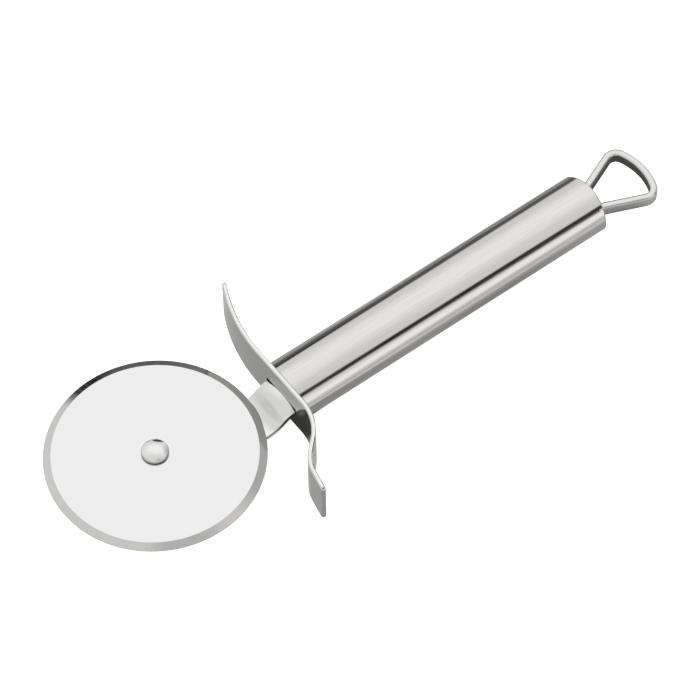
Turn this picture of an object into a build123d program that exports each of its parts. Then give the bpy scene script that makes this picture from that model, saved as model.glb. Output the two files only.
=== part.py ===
from build123d import *
from math import atan2, cos, degrees, hypot, radians, sin
import os

os.makedirs("parts", exist_ok=True)

# Pizza cutter lying on its side, in millimetres. +X runs from the guard to the hanging loop, +Z is the
# blade's axis, and the finger wing of the guard points to +Y. The origin is on the guard's lower edge,
# straight below the handle's axis and in the middle of the guard's sheet.

# Blade
blade_diameter = 65.0
blade_thickness = 1.2
bevel_width = 2.3
edge_thickness = 0.2

# Axle rivet, and the spacer behind the blade
journal_diameter = 5.0
shank_diameter = 4.0
head_diameter = 8.1
head_edge = 1.0
head_rim_chamfer = 0.2
head_height = 1.9
tail_diameter = 6.6
tail_height = 1.1
spacer_diameter = 10.0
spacer_thickness = 1.2
running_clearance = 0.05
axial_play = 0.06
rivet_clearance = 0.03

# Where the blade stands: its rim ahead of the guard, its axle beside the handle's axis
rim_gap = 7.6
axle_offset = 7.0

# Handle tube, its rear cap and the plug in its front
handle_length = 111.3
handle_width = 20.4
handle_height = 14.0
tube_wall = 1.0
cap_edge = 0.5
cap_dome = 3.0
cap_rim_radius = 0.5
cap_spigot = 5.0
plug_length = 14.0
insert_clearance = 0.05

# Arm: arched at the guard, flat behind the blade
arm_inset = 3.3
arm_thickness = 1.6
arm_arch = 1.35
crown_height = 0.8
arm_drop = 3.5
crank_under_rim = 2.2
turn_run = 3.0
turn_radius = 18.0
tang_length = 18.0
tang_clearance = 0.05

# Finger guard: a bent strip
guard_width = 16.1
guard_thickness = 1.4
finger_straight = 11.8
curl_radius = 55.0
curl_angle = 28.3
thumb_straight = 16.6
thumb_lean = 45.9
thumb_slope = 15.1
thumb_bend_radius = 16.6
thumb_tip = 10.4
thumb_tip_lean = 11.2
tip_bend_radius = 10.8
wing_corner_radius = 1.2
guard_edge_chamfer = 0.3
slot_end_gap = 0.2
slot_side_gap = 0.08
slot_corner_radius = 0.5

# Hanging loop: a bent strip
strip_width = 4.0
strip_thickness = 2.3
strip_edge_chamfer = 0.35
leg_spacing = 8.1
leg_insert = 7.5
leg_stub = 0.45
leg_bend_radius = 3.0
loop_width = 21.1
loop_shoulder = 15.7
loop_bow = 3.1
loop_corner_radius = 3.4
loop_lowering = 1.4

# Levels above the guard's lower edge
axis_height = guard_width / 2
arm_shoulder = axis_height + crown_height - arm_arch
seat_top = arm_shoulder - arm_drop
seat_bottom = seat_top - arm_thickness
spacer_top = seat_top + spacer_thickness
blade_bottom = spacer_top + axial_play
blade_top = blade_bottom + blade_thickness
head_bottom = blade_top + axial_play

# Stations along X
guard_back = guard_thickness / 2
guard_front = -guard_back
blade_radius = blade_diameter / 2
axle_x = guard_front - rim_gap - blade_radius
crank_start = (guard_front + guard_back) / 2
crank_end = guard_front - rim_gap - crank_under_rim
tube_rear = guard_back + handle_length
cap_top = tube_rear + cap_edge + cap_dome

arm_width = handle_width - 2 * arm_inset
axle_line = Axis((axle_x, axle_offset, 0), (0, 0, 1))
axle_section = Plane((axle_x, axle_offset, 0), x_dir=(1, 0, 0), z_dir=(0, -1, 0))


def handle_plane(x):
    return Plane((x, 0, axis_height), x_dir=(0, 1, 0), z_dir=(1, 0, 0))


def oval(x, inset):
    # the handle's outline at x, drawn inwards by inset: four arcs that run smoothly into each other
    diagonal = hypot(handle_width, handle_height) / 2
    excess = (handle_width - handle_height) / 2
    end_radius = (diagonal - excess) * diagonal / handle_width
    side_radius = (diagonal + excess) * diagonal / handle_height
    end_centre = handle_width / 2 - end_radius
    side_centre = handle_height / 2 - side_radius
    turn = degrees(atan2(handle_width, handle_height))
    with BuildSketch(handle_plane(x)) as outline:
        with BuildLine():
            CenterArc((end_centre, 0), end_radius - inset, -turn, 2 * turn)
            CenterArc((0, side_centre), side_radius - inset, turn, 180 - 2 * turn)
            CenterArc((-end_centre, 0), end_radius - inset, 180 - turn, 2 * turn)
            CenterArc((0, -side_centre), side_radius - inset, 180 + turn, 180 - 2 * turn)
        make_face()
    return outline.sketch


def arm_section(x, shoulder, arch, clearance=0.0):
    # cross-section of the arm's sheet at x: straight sides, top and underside arched alike
    side = arm_width / 2 + clearance
    top = shoulder + clearance
    bottom = shoulder - arm_thickness - clearance
    with BuildSketch(Plane.YZ.offset(x)) as section:
        with BuildLine():
            Line((side, top), (side, bottom))
            Line((-side, bottom), (-side, top))
            for level in (top, bottom):
                if arch > 0:
                    ThreePointArc((-side, level), (0, level + arch), (side, level))
                else:
                    Line((-side, level), (side, level))
        make_face()
    return section.sketch


# Blade: a disc turned about the axle, ground to a bevel on its upper face alone
with BuildPart() as blade:
    bore_radius = journal_diameter / 2 + running_clearance
    with BuildSketch(axle_section):
        with BuildLine():
            Polyline(
                (bore_radius, blade_bottom),
                (blade_radius, blade_bottom),
                (blade_radius, blade_bottom + edge_thickness),
                (blade_radius - bevel_width, blade_top),
                (bore_radius, blade_top),
                close=True,
            )
        make_face()
    revolve(axis=axle_line)
blade.part.label = "blade"
export_step(blade.part, "parts/blade.step")


# Axle rivet: domed head, shoulder that the blade turns on, shank, and the tail closed behind the arm
with BuildPart() as axle_rivet:
    head_top = (0, head_bottom + head_height)
    tail_foot = seat_bottom - tail_height
    with BuildSketch(axle_section) as rivet_section:
        with BuildLine():
            Polyline(
                head_top,
                (0, tail_foot),
                (tail_diameter / 2, tail_foot),
                (tail_diameter / 2, seat_bottom),
                (shank_diameter / 2, seat_bottom),
                (shank_diameter / 2, spacer_top),
                (journal_diameter / 2, spacer_top),
                (journal_diameter / 2, head_bottom),
                (head_diameter / 2, head_bottom),
                (head_diameter / 2, head_bottom + head_edge),
            )
            TangentArc(head_top, (head_diameter / 2, head_bottom + head_edge), tangent=(1, 0))
        make_face()
        head_rim = rivet_section.vertices().group_by(Axis.X)[-1].sort_by(Axis.Y)[-1]
        chamfer(head_rim, length=head_rim_chamfer)
    revolve(axis=axle_line)
axle_rivet.part.label = "axle_rivet"
export_step(axle_rivet.part, "parts/axle_rivet.step")


# Spacer washer: holds the blade off the arm
with BuildPart() as spacer_washer:
    with BuildSketch(Plane((axle_x, axle_offset, seat_top))):
        Circle(spacer_diameter / 2)
        Circle(shank_diameter / 2 + rivet_clearance, mode=Mode.SUBTRACT)
    extrude(amount=spacer_thickness)
spacer_washer.part.label = "spacer_washer"
export_step(spacer_washer.part, "parts/spacer_washer.step")


# Arm: an arched tang, a crank that starts inside the guard's slot and flattens out, and a flat strip that
# turns aside to a round eye under the axle
arched = arm_section(crank_start, arm_shoulder, arm_arch)
flat = arm_section(crank_end, seat_top, 0)
with BuildLine(Plane.XZ) as crank_path:
    crank_middle = ((crank_start + crank_end) / 2, (arm_shoulder + seat_top) / 2)
    TangentArc((crank_start, arm_shoulder), crank_middle, tangent=(-1, 0))
    TangentArc((crank_end, seat_top), crank_middle, tangent=(1, 0))
with BuildPart() as arm:
    extrude(arched, amount=guard_back + tang_length - crank_start)
    sweep([arched, flat], path=crank_path.wire(), multisection=True)
    with BuildSketch(Plane.XY.offset(seat_bottom)):
        with BuildLine():
            FilletPolyline(
                (crank_end, 0),
                (crank_end - turn_run, 0),
                (axle_x, axle_offset),
                radius=turn_radius,
            )
        trace(line_width=arm_width)
        with Locations((axle_x, axle_offset)):
            Circle(arm_width / 2)
            Circle(shank_diameter / 2 + rivet_clearance, mode=Mode.SUBTRACT)
    extrude(amount=arm_thickness)
arm.part.label = "arm"
export_step(arm.part, "parts/arm.step")


# Finger guard: the finger wing curls back to the handle, the thumb wing leans over the blade
with BuildPart() as finger_guard:
    thumb_corner = Vector(0, -thumb_straight)
    lean_way = Vector(-sin(radians(thumb_lean)), -cos(radians(thumb_lean)))
    tip_way = Vector(-sin(radians(thumb_tip_lean)), -cos(radians(thumb_tip_lean)))
    tip_corner = thumb_corner + lean_way * thumb_slope
    with BuildSketch():
        with BuildLine():
            CenterArc((curl_radius, finger_straight), curl_radius, 180, -curl_angle)
            FilletPolyline(
                (0, finger_straight),
                thumb_corner,
                tip_corner,
                tip_corner + tip_way * thumb_tip,
                radius=(thumb_bend_radius, tip_bend_radius),
            )
        trace(line_width=guard_thickness)
    extrude(amount=guard_width)
    wing_ends = finger_guard.faces().sort_by(Axis.Y)
    corners = (wing_ends[0].edges() + wing_ends[-1].edges()).filter_by(Plane.XY)
    fillet(corners, radius=wing_corner_radius)
    # every edge of the sheet's two sides is broken, apart from the lines where its bends begin and end
    by_place = finger_guard.faces().sort_by(Axis.Y)
    wing_ends = by_place[0].edges() + by_place[-1].edges()
    sheet_sides = finger_guard.faces().filter_by(lambda face: face.area > guard_width * guard_thickness)
    sheet_sides = sheet_sides.filter_by(lambda face: abs(face.normal_at().Z) < 0.5)
    outline = sheet_sides.edges().filter_by(Axis.Z, reverse=True) + wing_ends.filter_by(Axis.Z)
    chamfer(outline, length=guard_edge_chamfer)
    slot_top = arm_shoulder + arm_arch + slot_side_gap
    slot_bottom = arm_shoulder - arm_thickness - slot_side_gap
    with BuildSketch(Plane((0, 0, (slot_top + slot_bottom) / 2), x_dir=(0, 1, 0), z_dir=(1, 0, 0))):
        RectangleRounded(arm_width + 2 * slot_end_gap, slot_top - slot_bottom, slot_corner_radius)
    extrude(amount=guard_thickness, both=True, mode=Mode.SUBTRACT)
finger_guard.part.label = "finger_guard"
export_step(finger_guard.part, "parts/finger_guard.step")


# Handle tube: oval, open at both ends
with BuildPart() as handle_tube:
    extrude(oval(guard_back, 0), amount=handle_length)
    extrude(oval(guard_back, tube_wall), amount=handle_length, mode=Mode.SUBTRACT)
handle_tube.part.label = "handle_tube"
export_step(handle_tube.part, "parts/handle_tube.step")


# Tang plug: fills the tube's front around the tang
with BuildPart() as tang_plug:
    extrude(oval(guard_back, tube_wall + insert_clearance), amount=plug_length)
    tang_hole = arm_section(guard_back, arm_shoulder, arm_arch, tang_clearance)
    extrude(tang_hole, amount=plug_length, mode=Mode.SUBTRACT)
tang_plug.part.label = "tang_plug"
export_step(tang_plug.part, "parts/tang_plug.step")


# Rear cap: an oval dome that continues the tube, a spigot inside it and two holes for the loop's legs
with BuildPart() as rear_cap:
    dome_radius = (handle_width**2 / 4 + cap_dome**2) / (2 * cap_dome)
    extrude(oval(tube_rear, 0), amount=cap_edge + cap_dome)
    with Locations((cap_top - dome_radius, 0, axis_height)):
        Sphere(dome_radius, rotation=(0, 0, 180), mode=Mode.INTERSECT)
    fillet(rear_cap.faces().sort_by(Axis.X)[-1].edges(), radius=cap_rim_radius)
    extrude(oval(tube_rear, tube_wall + insert_clearance), amount=-cap_spigot)
    with BuildSketch(handle_plane(cap_top)):
        with Locations((leg_spacing / 2, -loop_lowering), (-leg_spacing / 2, -loop_lowering)):
            RectangleRounded(
                strip_thickness + 2 * insert_clearance,
                strip_width + 2 * insert_clearance,
                strip_edge_chamfer,
            )
    extrude(amount=tube_rear - cap_spigot - cap_top, mode=Mode.SUBTRACT)
rear_cap.part.label = "rear_cap"
export_step(rear_cap.part, "parts/rear_cap.step")


# Hanging loop: two legs spread from the cap to a bowed end, the strip's width standing upright
with BuildPart() as hanging_loop:
    leg = leg_spacing / 2
    shoulder = loop_width / 2
    with BuildSketch(Plane((cap_top, 0, axis_height - loop_lowering - strip_width / 2))):
        with BuildLine() as loop_path:
            Polyline((-leg_insert, leg), (leg_stub, leg), (loop_shoulder, shoulder))
            bow_middle = (loop_shoulder + loop_bow, 0)
            ThreePointArc((loop_shoulder, shoulder), bow_middle, (loop_shoulder, -shoulder))
            Polyline((loop_shoulder, -shoulder), (leg_stub, -leg), (-leg_insert, -leg))
            bends = loop_path.vertices().group_by(Axis.X)
            fillet(bends[1], radius=leg_bend_radius)
            fillet(loop_path.vertices().group_by(Axis.X)[-1], radius=loop_corner_radius)
        trace(line_width=strip_thickness)
    extrude(amount=strip_width)
    strip_edges = hanging_loop.faces().filter_by(Axis.Z).edges().filter_by(Axis.Y, reverse=True)
    chamfer(strip_edges, length=strip_edge_chamfer)
hanging_loop.part.label = "hanging_loop"
export_step(hanging_loop.part, "parts/hanging_loop.step")
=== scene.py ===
import math

import bmesh
import bpy
from mathutils import Matrix, Vector


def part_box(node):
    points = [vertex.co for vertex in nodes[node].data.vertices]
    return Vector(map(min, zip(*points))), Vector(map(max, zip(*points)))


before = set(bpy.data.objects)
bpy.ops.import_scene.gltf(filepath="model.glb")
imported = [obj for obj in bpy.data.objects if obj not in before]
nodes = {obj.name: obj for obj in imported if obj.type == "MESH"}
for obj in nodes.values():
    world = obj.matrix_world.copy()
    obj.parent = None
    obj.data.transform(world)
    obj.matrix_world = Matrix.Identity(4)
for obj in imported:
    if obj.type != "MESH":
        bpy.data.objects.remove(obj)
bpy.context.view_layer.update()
print("frame loaded:", len(nodes), "CAD nodes")


def linear(hexColour):  # sRGB hex to a linear colour with alpha
    channels = [int(hexColour[i:i + 2], 16) / 255 for i in (1, 3, 5)]
    return [c / 12.92 if c <= 0.04045 else ((c + 0.055) / 1.055) ** 2.4 for c in channels] + [1.0]


def perMillimetre(alongX, across=None):  # pattern scale for Object coordinates, which are in metres
    return [1000.0 / size for size in (alongX, across or alongX, across or alongX)]


# A socket value is a number, a colour or another node's output
# A socket is given by its name, or by its number where names repeat
def addNode(tree, kind, sockets=None, **settings):
    node = tree.nodes.new("ShaderNode" + kind)
    for name, value in settings.items():
        setattr(node, name, value)
    for name, value in (sockets or {}).items():
        if isinstance(value, bpy.types.NodeSocket):
            tree.links.new(value, node.inputs[name])
        else:
            node.inputs[name].default_value = value
    return node


def newMaterial(name):
    material = bpy.data.materials.new(name)
    material.use_nodes = True
    material.node_tree.nodes.clear()
    return material, material.node_tree


def dress(material, *pieces):
    for piece in pieces:
        piece.data.materials.clear()
        piece.data.materials.append(material)
    print(material.name, "on", ", ".join(piece.name for piece in pieces))


# In the dictionaries below, lengths are in millimetres, and a span is where most of a noise's values lie

# Brushed stainless steel, belt finished along the handle: fine lines soften what it mirrors across them
# The real lines are finer than a pixel of the render, so they are drawn coarser to show
brushed = {
    "colour": "#b1b0af", "bright": "#b7b6b5", "lineWidth": 0.35, "lineLength": 14.0,
    "span": (0.3, 0.7), "detail": 3.0, "roughLow": 0.06, "roughHigh": 0.1,
    "bumpHeight": 0.005, "bump": 0.22,
}
material, tree = newMaterial("brushedStainlessSteel")
place = addNode(tree, "TexCoord")
stretch = addNode(tree, "Mapping", {
    "Vector": place.outputs["Object"],
    "Scale": perMillimetre(brushed["lineLength"], brushed["lineWidth"])})
lines = addNode(tree, "TexNoise", {
    "Vector": stretch.outputs["Vector"], "Scale": 1.0, "Detail": brushed["detail"]})
rough = addNode(tree, "MapRange", {
    "Value": lines.outputs["Fac"], "From Min": brushed["span"][0], "From Max": brushed["span"][1],
    "To Min": brushed["roughLow"], "To Max": brushed["roughHigh"]})
bump = addNode(tree, "Bump", {
    "Height": lines.outputs["Fac"], "Strength": brushed["bump"], "Distance": brushed["bumpHeight"] / 1000})
sheen = addNode(tree, "MapRange", {
    "Value": lines.outputs["Fac"], "From Min": brushed["span"][0], "From Max": brushed["span"][1]})
colour = addNode(tree, "Mix", {
    0: sheen.outputs["Result"],
    6: linear(brushed["colour"]), 7: linear(brushed["bright"])}, data_type="RGBA")
shader = addNode(tree, "BsdfPrincipled", {
    "Base Color": colour.outputs[2], "Metallic": 1.0,
    "Roughness": rough.outputs["Result"], "Normal": bump.outputs["Normal"]})
addNode(tree, "OutputMaterial", {"Surface": shader.outputs["BSDF"]})
dress(material, nodes["handle_tube"], nodes["rear_cap"])

# Polished stainless steel, buffed after it was pressed: a clear mirror, a little hazy where it is handled
polished = {
    "colour": "#bbbbba", "clear": "#bfbfbe", "haze": 7.0, "detail": 4.0, "grain": 0.6,
    "span": (0.35, 0.65), "roughLow": 0.045, "roughHigh": 0.1,
}
material, tree = newMaterial("polishedStainlessSteel")
place = addNode(tree, "TexCoord")
spread = addNode(tree, "Mapping", {
    "Vector": place.outputs["Object"], "Scale": perMillimetre(polished["haze"])})
haze = addNode(tree, "TexNoise", {
    "Vector": spread.outputs["Vector"], "Scale": 1.0,
    "Detail": polished["detail"], "Roughness": polished["grain"]})
rough = addNode(tree, "MapRange", {
    "Value": haze.outputs["Fac"], "From Min": polished["span"][0], "From Max": polished["span"][1],
    "To Min": polished["roughLow"], "To Max": polished["roughHigh"]})
colour = addNode(tree, "Mix", {
    0: haze.outputs["Fac"], 6: linear(polished["clear"]), 7: linear(polished["colour"])}, data_type="RGBA")
shader = addNode(tree, "BsdfPrincipled", {
    "Base Color": colour.outputs[2], "Metallic": 1.0, "Roughness": rough.outputs["Result"]})
addNode(tree, "OutputMaterial", {"Surface": shader.outputs["BSDF"]})
dress(material, nodes["finger_guard"], nodes["arm"])

# Cold-headed stainless rivet: a polished dome with a softened rim, and painted shade: a dark line in
# the crevice at its foot
rivet = {
    "colour": "#bbbbba", "clear": "#bfbfbe", "mark": 1.2, "detail": 3.0,
    "span": (0.35, 0.65), "roughLow": 0.05, "roughHigh": 0.1,
    "paintedShade": "#605f5d", "paintedShadeRough": 0.35, "paintedShadeHeight": 0.45, "paintedShadeBlur": 0.1,
    "softening": 0.12, "softSamples": 64,
}
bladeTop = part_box("blade")[1].z
material, tree = newMaterial("coldHeadedStainlessSteel")
place = addNode(tree, "TexCoord")
level = addNode(tree, "SeparateXYZ", {"Vector": place.outputs["Object"]})
# Painted shade: a band at the foot of the head, just above the blade, turns dark grey and rougher
paintedShadeMask = addNode(tree, "MapRange", {
    "Value": level.outputs["Z"],
    "From Min": bladeTop + rivet["paintedShadeHeight"] / 1000,
    "From Max": bladeTop + (rivet["paintedShadeHeight"] - rivet["paintedShadeBlur"]) / 1000})
spread = addNode(tree, "Mapping", {
    "Vector": place.outputs["Object"], "Scale": perMillimetre(rivet["mark"])})
marks = addNode(tree, "TexNoise", {
    "Vector": spread.outputs["Vector"], "Scale": 1.0, "Detail": rivet["detail"]})
domeRough = addNode(tree, "MapRange", {
    "Value": marks.outputs["Fac"], "From Min": rivet["span"][0], "From Max": rivet["span"][1],
    "To Min": rivet["roughLow"], "To Max": rivet["roughHigh"]})
rough = addNode(tree, "Mix", {
    0: paintedShadeMask.outputs["Result"], 2: domeRough.outputs["Result"], 3: rivet["paintedShadeRough"]})
bright = addNode(tree, "Mix", {
    0: marks.outputs["Fac"], 6: linear(rivet["clear"]), 7: linear(rivet["colour"])}, data_type="RGBA")
# The painted shade darkens the colour in the crevice band
colour = addNode(tree, "Mix", {
    0: paintedShadeMask.outputs["Result"], 6: bright.outputs[2], 7: linear(rivet["paintedShade"])}, data_type="RGBA")
soft = addNode(tree, "Bevel", {"Radius": rivet["softening"] / 1000}, samples=rivet["softSamples"])
shader = addNode(tree, "BsdfPrincipled", {
    "Base Color": colour.outputs[2], "Metallic": 1.0,
    "Roughness": rough.outputs[0], "Normal": soft.outputs["Normal"]})
addNode(tree, "OutputMaterial", {"Surface": shader.outputs["BSDF"]})
dress(material, nodes["axle_rivet"])

# Stainless strip, barrel tumbled after it was bent: softly bright, with rounded edges and faint dents
# from the tumbling stones
tumbled = {
    "colour": "#b0b0af", "bright": "#b8b8b7", "dent": 0.9, "detail": 3.0,
    "span": (0.3, 0.7), "roughLow": 0.1, "roughHigh": 0.18,
    "bumpHeight": 0.01, "bump": 0.3, "softening": 1.2, "softSamples": 64,
}
material, tree = newMaterial("tumbledStainlessStrip")
place = addNode(tree, "TexCoord")
spread = addNode(tree, "Mapping", {
    "Vector": place.outputs["Object"], "Scale": perMillimetre(tumbled["dent"])})
dents = addNode(tree, "TexNoise", {
    "Vector": spread.outputs["Vector"], "Scale": 1.0, "Detail": tumbled["detail"]})
rough = addNode(tree, "MapRange", {
    "Value": dents.outputs["Fac"], "From Min": tumbled["span"][0], "From Max": tumbled["span"][1],
    "To Min": tumbled["roughLow"], "To Max": tumbled["roughHigh"]})
soft = addNode(tree, "Bevel", {"Radius": tumbled["softening"] / 1000}, samples=tumbled["softSamples"])
bump = addNode(tree, "Bump", {
    "Height": dents.outputs["Fac"], "Strength": tumbled["bump"], "Distance": tumbled["bumpHeight"] / 1000,
    "Normal": soft.outputs["Normal"]})
colour = addNode(tree, "Mix", {
    0: dents.outputs["Fac"], 6: linear(tumbled["colour"]), 7: linear(tumbled["bright"])}, data_type="RGBA")
shader = addNode(tree, "BsdfPrincipled", {
    "Base Color": colour.outputs[2], "Metallic": 1.0,
    "Roughness": rough.outputs["Result"], "Normal": bump.outputs["Normal"]})
addNode(tree, "OutputMaterial", {"Surface": shader.outputs["BSDF"]})
dress(material, nodes["hanging_loop"])

# Zinc-plated steel, from the barrel: a bluish silver, cloudy where the plating's crystals differ
zinc = {"colour": "#a3a6a9", "pale": "#b7b9bb", "crystal": 0.6, "roughLow": 0.22, "roughHigh": 0.36}
material, tree = newMaterial("zincPlatedSteel")
place = addNode(tree, "TexCoord")
spread = addNode(tree, "Mapping", {
    "Vector": place.outputs["Object"], "Scale": perMillimetre(zinc["crystal"])})
crystals = addNode(tree, "TexVoronoi", {"Vector": spread.outputs["Vector"], "Scale": 1.0})
shine = addNode(tree, "SeparateColor", {"Color": crystals.outputs["Color"]})
rough = addNode(tree, "MapRange", {
    "Value": shine.outputs["Red"], "To Min": zinc["roughLow"], "To Max": zinc["roughHigh"]})
colour = addNode(tree, "Mix", {
    0: shine.outputs["Red"], 6: linear(zinc["colour"]), 7: linear(zinc["pale"])}, data_type="RGBA")
shader = addNode(tree, "BsdfPrincipled", {
    "Base Color": colour.outputs[2], "Metallic": 1.0, "Roughness": rough.outputs["Result"]})
addNode(tree, "OutputMaterial", {"Surface": shader.outputs["BSDF"]})
dress(material, nodes["spacer_washer"])

# Blade steel: lapped to an even satin on its faces, with faint rings about the axle, and ground to a
# brighter bevel by strokes across the rim. The bevel is on the upper face alone
blade = {
    "colour": "#bebebe", "ringPitch": 0.8, "ringDetail": 4.0, "ringLow": 0.195, "ringHigh": 0.22,
    "bevelColour": "#b1b0ae", "bevelStart": 30.2, "bevelBlur": 0.03, "backFrom": 0.05, "backTo": 0.1,
    "strokePitch": 0.9, "strokeDetail": 3.0, "strokeLow": 0.06, "strokeHigh": 0.15,
    "strokeHeight": 0.01, "strokeBump": 0.3, "span": (0.3, 0.7),
}
lowest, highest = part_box("blade")
axle = (lowest + highest) / 2
rimRadius = (highest.x - lowest.x) / 2
material, tree = newMaterial("groundBladeSteel")
place = addNode(tree, "TexCoord")
centred = addNode(tree, "Mapping", {
    "Vector": place.outputs["Object"], "Location": (-axle.x, -axle.y, 0.0), "Scale": (1.0, 1.0, 0.0)})
radius = addNode(tree, "VectorMath", {0: centred.outputs["Vector"]}, operation="LENGTH")
level = addNode(tree, "SeparateXYZ", {"Vector": place.outputs["Object"]})
rim = addNode(tree, "MapRange", {
    "Value": radius.outputs["Value"],
    "From Min": (blade["bevelStart"] - blade["bevelBlur"]) / 1000,
    "From Max": (blade["bevelStart"] + blade["bevelBlur"]) / 1000})
aboveBack = addNode(tree, "MapRange", {
    "Value": level.outputs["Z"],
    "From Min": lowest.z + blade["backFrom"] / 1000, "From Max": lowest.z + blade["backTo"] / 1000})
bevel = addNode(tree, "Math", {
    0: rim.outputs["Result"], 1: aboveBack.outputs["Result"]}, operation="MULTIPLY")
pitch = addNode(tree, "Math", {
    0: radius.outputs["Value"], 1: 1000 / blade["ringPitch"]}, operation="MULTIPLY")
rings = addNode(tree, "TexNoise", {
    "W": pitch.outputs["Value"], "Scale": 1.0, "Detail": blade["ringDetail"]}, noise_dimensions="1D")
ringRough = addNode(tree, "MapRange", {
    "Value": rings.outputs["Fac"], "From Min": blade["span"][0], "From Max": blade["span"][1],
    "To Min": blade["ringLow"], "To Max": blade["ringHigh"]})
around = addNode(tree, "VectorMath", {0: centred.outputs["Vector"]}, operation="NORMALIZE")
strokes = addNode(tree, "TexNoise", {
    "Vector": around.outputs["Vector"], "Scale": rimRadius * 1000 / blade["strokePitch"],
    "Detail": blade["strokeDetail"]})
strokeRough = addNode(tree, "MapRange", {
    "Value": strokes.outputs["Fac"], "From Min": blade["span"][0], "From Max": blade["span"][1],
    "To Min": blade["strokeLow"], "To Max": blade["strokeHigh"]})
rough = addNode(tree, "Mix", {
    0: bevel.outputs["Value"], 2: ringRough.outputs["Result"], 3: strokeRough.outputs["Result"]})
colour = addNode(tree, "Mix", {
    0: bevel.outputs["Value"],
    6: linear(blade["colour"]), 7: linear(blade["bevelColour"])}, data_type="RGBA")
height = addNode(tree, "Math", {0: strokes.outputs["Fac"], 1: bevel.outputs["Value"]}, operation="MULTIPLY")
bump = addNode(tree, "Bump", {
    "Height": height.outputs["Value"], "Strength": blade["strokeBump"],
    "Distance": blade["strokeHeight"] / 1000})
shader = addNode(tree, "BsdfPrincipled", {
    "Base Color": colour.outputs[2], "Metallic": 1.0,
    "Roughness": rough.outputs[0], "Normal": bump.outputs["Normal"]})
addNode(tree, "OutputMaterial", {"Surface": shader.outputs["BSDF"]})
dress(material, nodes["blade"])

# Moulded nylon, black: matt, with the fine sparked texture of its mould
nylon = {
    "colour": "#232325", "worn": "#2e2e30", "grit": 0.25, "detail": 2.0,
    "span": (0.3, 0.7), "roughLow": 0.5, "roughHigh": 0.66, "bumpHeight": 0.02, "bump": 0.4,
}
material, tree = newMaterial("mouldedBlackNylon")
place = addNode(tree, "TexCoord")
spread = addNode(tree, "Mapping", {
    "Vector": place.outputs["Object"], "Scale": perMillimetre(nylon["grit"])})
grit = addNode(tree, "TexNoise", {
    "Vector": spread.outputs["Vector"], "Scale": 1.0, "Detail": nylon["detail"]})
colour = addNode(tree, "Mix", {
    0: grit.outputs["Fac"], 6: linear(nylon["colour"]), 7: linear(nylon["worn"])}, data_type="RGBA")
rough = addNode(tree, "MapRange", {
    "Value": grit.outputs["Fac"], "From Min": nylon["span"][0], "From Max": nylon["span"][1],
    "To Min": nylon["roughLow"], "To Max": nylon["roughHigh"]})
bump = addNode(tree, "Bump", {
    "Height": grit.outputs["Fac"], "Strength": nylon["bump"], "Distance": nylon["bumpHeight"] / 1000})
shader = addNode(tree, "BsdfPrincipled", {
    "Base Color": colour.outputs[2], "Roughness": rough.outputs["Result"], "Normal": bump.outputs["Normal"]})
addNode(tree, "OutputMaterial", {"Surface": shader.outputs["BSDF"]})
dress(material, nodes["tang_plug"])

# From here on, lengths are in metres
# Studio floor: a white board, lit a little from below, that the steel doesn't mirror
floorLook = {"colour": "#f4f3f1", "roughness": 0.9, "glow": 0.8, "halfSize": 20.0, "drop": 0.0002}
# What the steel mirrors instead: a grey board with painted shade, darker round the handle, behind it and
# before the guard, and darkest under the arm and inside the loop, where the cutter shuts out the light
boardLook = {
    "halfSize": 20.0, "drop": 0.0002,
    "near": 0.27, "far": 0.74, "middle": (0.075, -0.014), "reach": (0.13, 0.048),
    "shadeEdge": 0.5,
    "shades": {
        "beforeGuard": {"middle": (-0.02, -0.005), "reach": (0.09, 0.09), "grey": 0.34},
        "behindHandle": {"middle": (0.11, 0.15), "reach": (0.14, 0.145), "grey": 0.12},
        "farBehindHandle": {"middle": (0.2, 0.5), "reach": (0.45, 0.42), "grey": 0.2},
        "underArm": {"middle": (0.0015, -0.0065), "reach": (0.0095, 0.0095), "grey": 0.04},
        "insideLoop": {"middle": (0.126, 0.001), "reach": (0.018, 0.018), "grey": 0.085},
    },
}


def makeBoard(name, look):
    sheet = bmesh.new()
    bmesh.ops.create_grid(sheet, x_segments=1, y_segments=1, size=look["halfSize"],
                          matrix=Matrix.Translation((0.0, 0.0, -look["drop"])))
    mesh = bpy.data.meshes.new(name)
    sheet.to_mesh(mesh)
    sheet.free()
    board = bpy.data.objects.new(name, mesh)
    bpy.context.scene.collection.objects.link(board)
    return board


floor = makeBoard("whiteFloor", floorLook)
floor.visible_glossy = False
material, tree = newMaterial("whiteMattBoard")
shader = addNode(tree, "BsdfPrincipled", {
    "Base Color": linear(floorLook["colour"]), "Roughness": floorLook["roughness"],
    "Emission Color": linear(floorLook["colour"]), "Emission Strength": floorLook["glow"]})
addNode(tree, "OutputMaterial", {"Surface": shader.outputs["BSDF"]})
dress(material, floor)

greyBoard = makeBoard("greyBoard", boardLook)
greyBoard.visible_camera = False
greyBoard.visible_diffuse = False
greyBoard.visible_shadow = False
material, tree = newMaterial("paintedShadeGreyBoard")
place = addNode(tree, "TexCoord").outputs["Object"]
fromMiddle = addNode(tree, "Mapping", {
    "Vector": place, "Location": (*boardLook["middle"], 0.0),
    "Scale": (*boardLook["reach"], 1.0)}, vector_type="TEXTURE")
distance = addNode(tree, "VectorMath", {0: fromMiddle.outputs["Vector"]}, operation="LENGTH")
# Painted shade: the board is darker near the handle and lighter further out
grey = addNode(tree, "MapRange", {
    "Value": distance.outputs["Value"], "To Min": boardLook["near"], "To Max": boardLook["far"]})
tone = grey.outputs["Result"]
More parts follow.
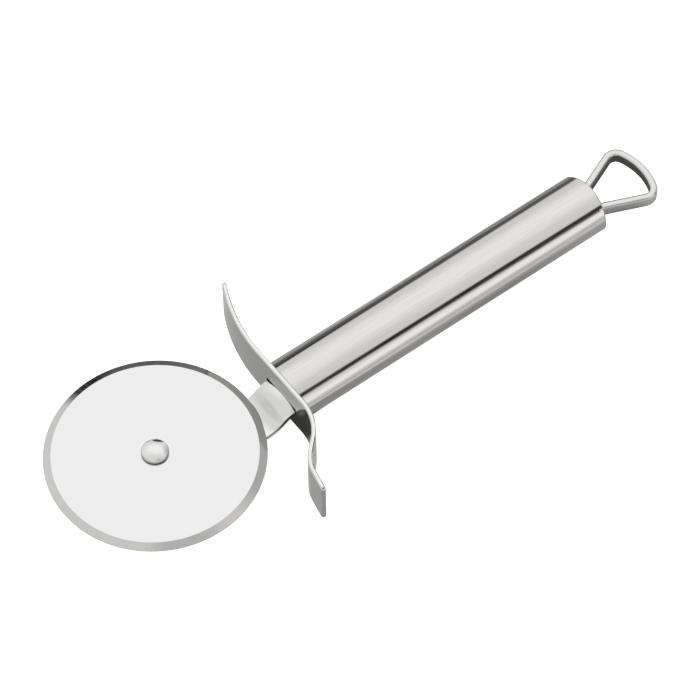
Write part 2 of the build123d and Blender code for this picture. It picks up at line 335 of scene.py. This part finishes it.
# Painted shadows: each shade darkens the board towards its grey about its middle
for shade in boardLook["shades"].values():
    spot = addNode(tree, "Mapping", {
        "Vector": place, "Location": (*shade["middle"], 0.0),
        "Scale": (*shade["reach"], 1.0)}, vector_type="TEXTURE")
    patch = addNode(tree, "TexGradient", {"Vector": spot.outputs["Vector"]}, gradient_type="SPHERICAL")
    mask = addNode(tree, "MapRange", {
        "Value": patch.outputs["Fac"], "From Max": boardLook["shadeEdge"]}, interpolation_type="SMOOTHSTEP")
    tone = addNode(tree, "Mix", {0: mask.outputs["Result"], 2: tone, 3: shade["grey"]}).outputs[0]
shader = addNode(tree, "BsdfDiffuse", {"Color": tone})
addNode(tree, "OutputMaterial", {"Surface": shader.outputs["BSDF"]})
dress(material, greyBoard)

# Light tent: white all round above, with soft boxes, shades and gaps in it, placed by azimuth and elevation
# Size is the half width and half height in degrees, turned by the twist. Edge is how soft the border is,
# 0 to 1. A later card covers an earlier one
tent = {
    "colour": "#ffffff", "above": 1.28, "below": 0.8, "fadeFrom": -0.1, "fadeTo": 0.4, "backdrop": 1.0,
}
cards = {
    "overheadSoftbox": {"at": (54, 58), "size": (62, 36), "twist": 0, "edge": 0.8, "level": 1.68},
    "rightShade": {"at": (-12, 36), "size": (42, 26), "twist": 0, "edge": 0.6, "level": 0.85},
    "leftShade": {"at": (152, 29), "size": (42, 18), "twist": 25, "edge": 0.9, "level": 1.06},
    "zenithShade": {"at": (-88, 73), "size": (21, 14), "twist": 0, "edge": 0.6, "level": 0.98},
    "cameraShade": {"at": (-84, 40), "size": (29, 20), "twist": 0, "edge": 0.5, "level": 0.22},
    "farRightShade": {"at": (46, 14), "size": (15, 10), "twist": 0, "edge": 0.6, "level": 0.36},
    "farGap": {"at": (66, 6), "size": (28, 10.5), "twist": 0, "edge": 0.5, "level": 0.19},
    "farLeftGap": {"at": (77, 13), "size": (12, 7), "twist": 0, "edge": 0.6, "level": 0.03},
    "rivetGap": {"at": (50, 19.5), "size": (14, 6.5), "twist": 0, "edge": 0.3, "level": 0.1},
    "rightGap": {"at": (-30, 4), "size": (22, 18), "twist": 0, "edge": 0.4, "level": 0.06},
    "frontGap": {"at": (-52.4, 54.8), "size": (13, 5.9), "twist": -63, "edge": 0.6, "level": 0.03},
    "frontScreen": {"at": (-65.6, 45.6), "size": (9, 9), "twist": 0, "edge": 0.11, "level": 1.4},
    "frontSoftbox": {"at": (-63, 33), "size": (21, 16), "twist": -17, "edge": 0.3, "level": 1.7},
}
world = bpy.data.worlds.new("lightTent")
bpy.context.scene.world = world
world.use_nodes = True
tree = world.node_tree
tree.nodes.clear()
sky = addNode(tree, "TexCoord").outputs["Generated"]
skyHeight = addNode(tree, "SeparateXYZ", {"Vector": sky}).outputs["Z"]
light = addNode(tree, "MapRange", {
    "Value": skyHeight, "From Min": tent["fadeFrom"], "From Max": tent["fadeTo"],
    "To Min": tent["below"], "To Max": tent["above"]}, interpolation_type="SMOOTHSTEP").outputs["Result"]
for card in cards.values():
    azimuth, elevation, width, height, twist = [
        math.radians(angle) for angle in (*card["at"], *card["size"], card["twist"])]
    outward = math.cos(elevation)
    middle = Vector((math.cos(azimuth) * outward, math.sin(azimuth) * outward, math.sin(elevation)))
    facing = middle.to_track_quat("Z", "Y").to_matrix() @ Matrix.Rotation(twist, 3, "Z")
    spread = addNode(tree, "Mapping", {
        "Vector": sky, "Location": middle, "Rotation": facing.to_euler(),
        "Scale": (math.sin(width), math.sin(height), 1.0)}, vector_type="TEXTURE")
    patch = addNode(tree, "TexGradient", {"Vector": spread.outputs["Vector"]}, gradient_type="SPHERICAL")
    mask = addNode(tree, "MapRange", {
        "Value": patch.outputs["Fac"], "From Max": card["edge"]}, interpolation_type="SMOOTHSTEP")
    light = addNode(tree, "Mix", {0: mask.outputs["Result"], 2: light, 3: card["level"]}).outputs[0]
# A plain white backdrop hides the cards from low views
seen = addNode(tree, "LightPath").outputs["Is Camera Ray"]
light = addNode(tree, "Mix", {0: seen, 2: light, 3: tent["backdrop"]}).outputs[0]
background = addNode(tree, "Background", {"Color": linear(tent["colour"]), "Strength": light})
addNode(tree, "OutputWorld", {"Surface": background.outputs["Background"]})
bpy.context.scene.view_settings.view_transform = "Standard"
print("light tent with", len(cards), "cards")

# Camera at the photograph's angle, for an image of 700 x 700
# Angles are in degrees, and lens and sensor in millimetres
cameraLook = {
    "eye": (-0.35844, -0.5226, 0.98275), "azimuth": -36.22, "elevation": 56.37, "roll": -0.89,
    "lens": 205.7, "sensor": 36.0, "clipStart": 0.01,
}
cameraData = bpy.data.cameras.new("photoCamera")
cameraData.lens = cameraLook["lens"]
cameraData.sensor_width = cameraLook["sensor"]
cameraData.clip_start = cameraLook["clipStart"]
camera = bpy.data.objects.new("photoCamera", cameraData)
bpy.context.scene.collection.objects.link(camera)
turn = Matrix.Rotation(math.radians(cameraLook["azimuth"]), 4, "Z")
tilt = Matrix.Rotation(math.radians(90 - cameraLook["elevation"]), 4, "X")
roll = Matrix.Rotation(math.radians(cameraLook["roll"]), 4, "Z")
camera.matrix_world = Matrix.Translation(cameraLook["eye"]) @ turn @ tilt @ roll
bpy.context.scene.camera = camera
print("camera", cameraLook["elevation"], "degrees above the floor")
